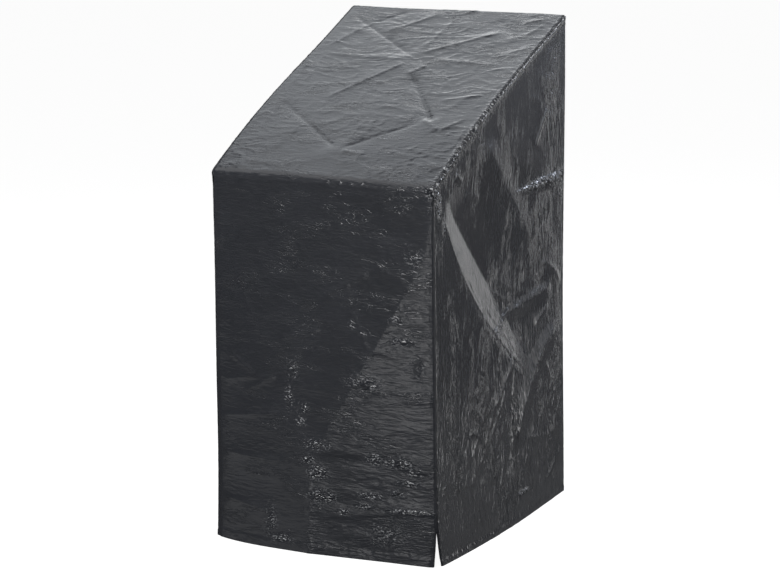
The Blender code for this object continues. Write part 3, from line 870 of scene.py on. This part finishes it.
def strip_bulge(x, s):
    """How far the strip stands out of its flat panels at (x, s), folds left aside.

    The top sags by a squared sine and the back swells by a smooth step. Both die out towards the
    seams as 1 - (x / half the width)^4.
    """
    reach = 1.0 - np.abs(x / (WIDTH / 2)) ** ACROSS_POWER
    up_slope = np.clip((s - MARKS[2]) / (MARKS[3] - MARKS[2]), 0.0, 1.0)
    sag = -TOP_SAG * np.sin(np.pi * up_slope) ** 2
    down_back = np.clip((s - MARKS[4]) / (MARKS[5] - MARKS[4]), 0.0, 1.0)
    return front_height(x, s) + reach * (sag + BACK_BULGE * smoothstep(down_back / BACK_FILLED))


middle = front_height(np.zeros(1), np.full(1, CREASE_FOOT))[0]
print("the middle of the front stands out by", (middle * 1000).round(1), "mm at the crease's foot")

# %% The strip's wrinkles
# Height, distance apart, stretch, sharpness, and the seed of its random field.
FRONT_WRINKLES = ((0.0008, 0.017, 2.6, 0.30, 11),)
TOP_WRINKLES = ((0.0015, 0.014, 2.4, 0.22, 21), (0.0018, 0.045, 2.2, 0.22, 31))
STRIP_CRUSH = ((0.0011, 0.008, 1.4, 0.22, 41),)
# Slow waves of the front: height, length and width.
SWELL, SWELL_LONG, SWELL_WIDE = 0.0007, 0.09, 0.03
# The top's wrinkles begin this far before the front fold, and blend in over the next length.
TOP_EARLY, TOP_BLEND = 0.03, 0.05
SEAM_BLEND = 0.02
# SEAM_WORN is the width of the seam's crush mask, which also places painted glint specks.
SEAM_WORN = 0.009
FINE_MARGIN = 0.020
PUCKER_HIGH = 0.0009
TEETH_HIGH = 0.0026
STRIP_STREAKED = 0.38


def strip_wrinkles(x, s):
    """Fine wrinkles of the strip: flat long ones on the front, more crumpled on the top."""
    ended = smoothstep((s - MARKS[3]) / TOP_BLEND)
    top = smoothstep((s - MARKS[1] + TOP_EARLY) / TOP_BLEND) * (1.0 - ended)
    front = wrinkles(x, s, FRONT_WRINKLES) + SWELL * waves(x / SWELL_LONG, s / SWELL_WIDE, seed=15)
    return front * (1.0 - top) + wrinkles(x, s, TOP_WRINKLES) * top


def strip_relief(x, s, edge):
    """How far the strip stands out, edge metres from its nearer long side, and its crumple mask."""
    on_top = smoothstep((s - MARKS[1]) / SEAM_BLEND) * (x > 0.0)
    seam = on_top * seam_wear_and_glints(s - MARKS[2]) * np.exp(-((edge / SEAM_WORN) ** 2))
    mask = crumple_mask(x, s, STRIP_SPOTS) + seam
    folds = fold_field(x, s, STRIP_FOLDS) + fold_field(x, s, STRIP_CREASES)
    fine = strip_wrinkles(x, s) + mask * wrinkles(x, s, STRIP_CRUSH)
    high = (strip_bulge(x, s) + folds * held(edge)) * smoothstep((edge - SEAM_FLAT / 4) / SEAM_FLAT)
    high += fine * smoothstep(edge / FINE_MARGIN)
    high += (PUCKER_HIGH + TEETH_HIGH * on_top * (s < MARKS[3])) * puckers(s, edge, seed=61)
    high += hem_relief(x, s, HEM_FRONT, seed=71) + hem_relief(x, MARKS[5] - s, HEM_FRONT, seed=75)
    return high - seam_round(edge), mask


print("sets of wrinkles on the top:", len(TOP_WRINKLES))

# %% The strip's grid
STRIP_COLUMNS = 138
FRONT_ROWS = 252
TOP_ROWS = 232
BACK_ROWS = 77
FOLD_ROWS = 8


def strip_grid():
    """Points of the strip's outer face, its coordinates in the cloth, and its two masks."""
    runs = (
        spaced(MARKS[0], MARKS[1], FRONT_ROWS, at_start=HEM_OFFSETS)[:-1],
        spaced(MARKS[1], MARKS[2], FOLD_ROWS)[:-1],
        spaced(MARKS[2], MARKS[3], TOP_ROWS)[:-1],
        spaced(MARKS[3], MARKS[4], FOLD_ROWS)[:-1],
        spaced(MARKS[4], MARKS[5], BACK_ROWS, at_end=HEM_OFFSETS),
    )
    s = np.concatenate(runs)
    half = WIDTH / 2 - CLOTH - SEAM_GAP
    flat = spaced(-half, half, STRIP_COLUMNS, at_start=SEAM_OFFSETS, at_end=SEAM_OFFSETS)
    y, z, ny, nz = (v[:, None] for v in strip_line(s))
    u = flat[None, :] / half
    x = flat[None, :] - VENT_IN_FRONT * vent(s)[:, None] * np.clip(u, 0.0, 1.0) ** 3
    s = np.broadcast_to(s[:, None], x.shape)
    edge = np.broadcast_to(half * (1.0 - np.abs(u)), x.shape)
    high, mask = strip_relief(x, s, edge)
    grid = np.stack((x, y + ny * high + CENTRE_Y, z + nz * high), axis=2)
    return grid, np.stack((x, s), axis=2), mask, np.full_like(x, STRIP_STREAKED)


strip = grid_sheet("front_top_back_cloth", *strip_grid())

# %% [markdown]
# ## The side panels
#
# A side panel is the same kind of grid between the hem and the profile of the strip. Its wrinkles
# run up and down, as the cloth hangs from the sloping seam. The right one carries a long flat band
# from the front top corner down and back, where the cloth is pulled over the stack's arm, and broad
# creases behind and below it. The band is drawn as a shallow flat-sided trough, because that flank
# turns to the light. The left side is calmer, and is made in the same way.

# %% The side's form
SIDE_BULGE = 0.013
SIDE_SKEW = 0.85
BULGE_TOP = 0.95
BULGE_OVER = 0.75
VENT_IN_SIDE = 0.020
SIDE_VENT_POWER = 5
PLEAT_MARGIN = 0.110
SIDE_FINE_MARGIN = 0.050
# SIDE_SEAM_WORN is the width of the side seam's crush mask, which also places painted glint specks.
SIDE_SEAM_WORN = 0.016
SIDE_PUCKERS = 0.0020
SIDE_EDGE_PUCKERS = 0.0009
# Height, distance apart, stretch, sharpness, and what is added to the panel's seed.
SIDE_WRINKLES = ((0.00078, 0.018, 3.6, 0.30, 0), (0.0026, 0.042, 3.2, 0.20, 10))
SIDE_CRUSH = ((0.0012, 0.008, 1.4, 0.22, 31),)
# The wrinkles lean with a slow wave: how far, and radians for each metre up and back.
LEAN, LEAN_UP, LEAN_BACK = 0.10, 3.0, 4.0
# Streaks are least, and most, this strong, and a pleat pulls this share of them flat.
STREAK_LEAST, STREAK_MOST, PLEAT_CALMS = 0.10, 1.3, 0.6
ALLOWANCE = 0.020
LIP_HIGH, LIP_RISE, LIP_FLAT = 0.0026, 0.005, 0.004
LIP_RIDGE, RIDGE_OFF, RIDGE_WIDE, RIDGE_PACE = 0.0012, 0.003, 0.0028, 0.09


def side_top(d):
    """Height of a side panel's upper edge at distance d back from the front edge."""
    y, z, _, _ = strip_line(np.linspace(MARKS[1], MARKS[4], PATH_STEPS // 2 + 1))
    return np.interp(d, y + DEPTH / 2, z)


def seam_lip(below, d, seed):
    """The seam allowance under the sloping seam: it stands out there, and ends in a thin ridge."""
    ended = smoothstep((below - LIP_FLAT) / (ALLOWANCE - LIP_FLAT))
    lip = LIP_HIGH * smoothstep(below / LIP_RISE) * (1.0 - ended)
    ridge = np.exp(-(((below - ALLOWANCE - RIDGE_OFF) / RIDGE_WIDE) ** 2))
    return lip + LIP_RIDGE * ridge * pulse(d / RIDGE_PACE, seed)


def side_relief(d, z, below, edge, tables, on_right, seed):
    """How far a side panel stands out, its crumple mask, and how bunched its streaks are.

    The bulge is fullest a little in front of the middle and grows towards the hem. Folds are held
    flat along the edges, and pleats come up slowly away from them.
    """
    folds, pleats, creases, spots = tables
    back = np.clip(d / DEPTH, 0.0, 1.0) ** SIDE_SKEW
    bulge = SIDE_BULGE * np.sin(np.pi * back) * smoothstep((BULGE_TOP - z) / BULGE_OVER)
    mask = crumple_mask(d, z, spots) + on_right * seam_wear_and_glints(d) * np.exp(-((below / SIDE_SEAM_WORN) ** 2))
    pleat, cover = pleat_field(d, z, pleats)
    bunched = np.minimum(STREAK_LEAST + crumple_mask(d, z, SIDE_STREAKS), STREAK_MOST)
    bunched = bunched * (1.0 - PLEAT_CALMS * cover)
    lean = d + LEAN * np.sin(LEAN_UP * z + LEAN_BACK * d)
    fine = wrinkles(z, lean, SIDE_WRINKLES, seed) * bunched + mask * wrinkles(z, d, SIDE_CRUSH, seed)
    high = bulge + (fold_field(d, z, folds) + fold_field(d, z, creases)) * held(edge)
    high += pleat * smoothstep(edge / PLEAT_MARGIN) + fine * smoothstep(edge / SIDE_FINE_MARGIN)
    high += SIDE_PUCKERS * puckers(d, below, seed + 41) + seam_lip(below, d, seed + 47)
    high += SIDE_EDGE_PUCKERS * puckers(z, np.minimum(d, DEPTH - d), seed + 45)
    return high + hem_relief(d, z, HEM_SIDE, seed + 51) - seam_round(edge), mask, bunched


print("the seam is", side_top(np.array([0.0, DEPTH / 2, DEPTH])).round(3), "m up at front, middle and back")

# %% The two side panels
RIGHT_COLUMNS = 318
RIGHT_ROWS = 254
LEFT_COLUMNS = 228
LEFT_ROWS = 194
TOP_CROWDING = 0.8


def side_piece(name, side, columns, rows, tables, seed):
    """One side panel as a finished sheet; side is +1 on the right and -1 on the left."""
    on_right = max(side, 0.0)
    d = spaced(0.0, DEPTH, columns, at_start=SEAM_OFFSETS, at_end=SEAM_OFFSETS)
    top = side_top(d)[None, :]
    near_top = [TOP_CROWDING * offset for offset in SEAM_OFFSETS]
    z = spaced(0.0, 1.0, rows, at_start=HEM_OFFSETS, at_end=near_top)[:, None] * top
    pulled = VENT_IN_SIDE * on_right * vent(z) * (1.0 - d / DEPTH)[None, :] ** SIDE_VENT_POWER
    below = (top - z) * math.cos(SLOPE)
    edge = np.minimum(np.minimum(d, DEPTH - d)[None, :], below)
    d = d[None, :] + pulled
    high, mask, bunched = side_relief(d, z, below, edge, tables, on_right, seed)
    grid = np.stack((side * (WIDTH / 2 + high), d - DEPTH / 2 + CENTRE_Y, z), axis=2)
    made = (grid, np.stack((z, d), axis=2), mask, bunched)
    return grid_sheet(name, *(values[:, ::int(side)] for values in made))


right_tables = (RIGHT_FOLDS, RIGHT_PLEATS, RIGHT_CREASES, RIGHT_SPOTS)
left_tables = (LEFT_FOLDS, LEFT_PLEATS, (), ())
right = side_piece("right_side_cloth", 1.0, RIGHT_COLUMNS, RIGHT_ROWS, right_tables, seed=100)
left = side_piece("left_side_cloth", -1.0, LEFT_COLUMNS, LEFT_ROWS, left_tables, seed=200)

# %% [markdown]
# ## Coated sheeting
#
# The material is polyethylene tape woven into a cloth and laminated with a clear film on each side.
# The film gives it two glosses at once: a broad soft one from the tapes underneath, and a thin
# sharp one from the film itself, which is what sparkles on the small wrinkles. Where the cloth was
# crushed, the colour has painted glints: whitish specks that stand in for more sparkle. The patterns
# are noise stretched along the cloth, in its own coordinates, so they follow the folds and stay put
# in every view.

# %% Material
# Each noise: metres along the wrinkles, metres across them, detail and distortion. The woven tapes
# are 2 to 3 mm wide, too fine to show from here, so the dashes that stand for them are coarser.
PATTERNS = {
    "dash": (0.028, 0.007, 2.0, 0.0),
    "streak": (0.070, 0.016, 1.5, 2.0),
    "patch": (0.160, 0.060, 2.0, 0.0),
    "crush": (0.024, 0.013, 0.5, 1.0),
    # The speck noise places the painted glints, whitish specks of base colour.
    "speck": (0.007, 0.0045, 1.0, 0.0),
    "blotch": (1 / 9, 1 / 9, 4.0, 0.0),
}
DASH_HIGH = 0.0005
STREAK_HIGH = 0.0015
LINE_HIGH = 0.0011
CRUSH_HIGH = 0.0110
# Factor and offset that turn part of a noise's range into 0 to 1.
THIN_LINE = (-8.0, 1.0)
IN_PATCHES = (9.0, -4.5)
# IN_CLUMPS and IN_SPECKS pick out the painted glints: whitish specks of base colour in the crushed cells.
IN_CLUMPS = (9.0, -4.1)
IN_SPECKS = (11.0, -6.1)
SURFACE = {"Roughness": 0.26, "IOR": 1.5, "Coat Weight": 0.25, "Coat Roughness": 0.09}


def coated_cloth():
    """Dark grey laminated woven polyethylene.

    Its relief is the sum of short dashes 28 mm long, soft streaks 70 mm long, thin ridges where
    the streaks' noise passes its middle value, in patches, and crushed cells where the crumple mask
    is. Its colour is two close greys in blotches, with painted glints, whitish specks, in the crushed
    cells.
    """
    material = bpy.data.materials.new("woven_polyethylene_laminated")
    material.use_nodes = True
    tree = material.node_tree
    shader = tree.nodes["Principled BSDF"]
    uv = node(tree, "UVMap", uv_map="cloth")
    mask = node(tree, "Attribute", out="Fac", attribute_name="crumple")
    streaked = node(tree, "Attribute", out="Fac", attribute_name="streaked")
    noise = {}
    for name, (long, wide, detail, distortion) in PATTERNS.items():
        scaled = node(tree, "Mapping", {"Vector": uv, "Scale": (1 / long, 1 / wide, 1.0)})
        how = {"Vector": scaled, "Scale": 1.0, "Detail": detail, "Distortion": distortion}
        noise[name] = node(tree, "TexNoise", how, noise_dimensions="2D")
    times = {"operation": "MULTIPLY"}
    times_plus = {"operation": "MULTIPLY_ADD"}
    off_middle = {}
    for name in ("streak", "crush"):
        off = node(tree, "Math", (noise[name], 0.5), operation="SUBTRACT")
        off_middle[name] = node(tree, "Math", (off,), operation="ABSOLUTE")
    line = node(tree, "Math", (off_middle["streak"], *THIN_LINE), use_clamp=True, **times_plus)
    patches = node(tree, "Math", (noise["patch"], *IN_PATCHES), use_clamp=True, **times_plus)
    lines = node(tree, "Math", (node(tree, "Math", (line, patches), **times), LINE_HIGH), **times)
    along = node(tree, "Math", (noise["streak"], STREAK_HIGH, lines), **times_plus)
    along = node(tree, "Math", (along, streaked), **times)
    fine = node(tree, "Math", (noise["dash"], DASH_HIGH, along), **times_plus)
    cells = node(tree, "Math", (off_middle["crush"], mask), **times)
    high = node(tree, "Math", (cells, CRUSH_HIGH, fine), **times_plus)
    bump = node(tree, "Bump", {"Height": high, "Distance": 1.0, "Strength": 1.0})

    greys = {0: noise["blotch"], 1: colour("#303237"), 2: colour("#393B41")}
    # Painted glints: whitish base colour #D4D6DA in specks within the crushed cells, standing in for
    # sparkle.
    clumps = node(tree, "Math", (noise["crush"], *IN_CLUMPS), use_clamp=True, **times_plus)
    specks = node(tree, "Math", (noise["speck"], *IN_SPECKS), use_clamp=True, **times_plus)
    painted_glints = node(tree, "Math", (specks, clumps), **times)
    painted_glints = node(tree, "Math", (painted_glints, mask), use_clamp=True, **times)
    tint = node(tree, "MixRGB", {0: painted_glints, 1: node(tree, "MixRGB", greys), 2: colour("#D4D6DA")})
    for socket, value in (("Base Color", tint), ("Normal", bump), ("Coat Normal", bump)):
        tree.links.new(value, shader.inputs[socket])
    for socket, value in SURFACE.items():
        shader.inputs[socket].default_value = value
    return material


sheeting = coated_cloth()
print(sheeting.name, "has", len(sheeting.node_tree.nodes), "nodes")

# %% [markdown]
# ## On the frame
#
# Each sheet stands for one solid of the CAD model, which it hides.

for piece in (strip, right, left):
    piece.data.materials.append(sheeting)
    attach(piece, "root")
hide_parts("front_top_back_panel")
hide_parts("right_side_panel")
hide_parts("left_side_panel")
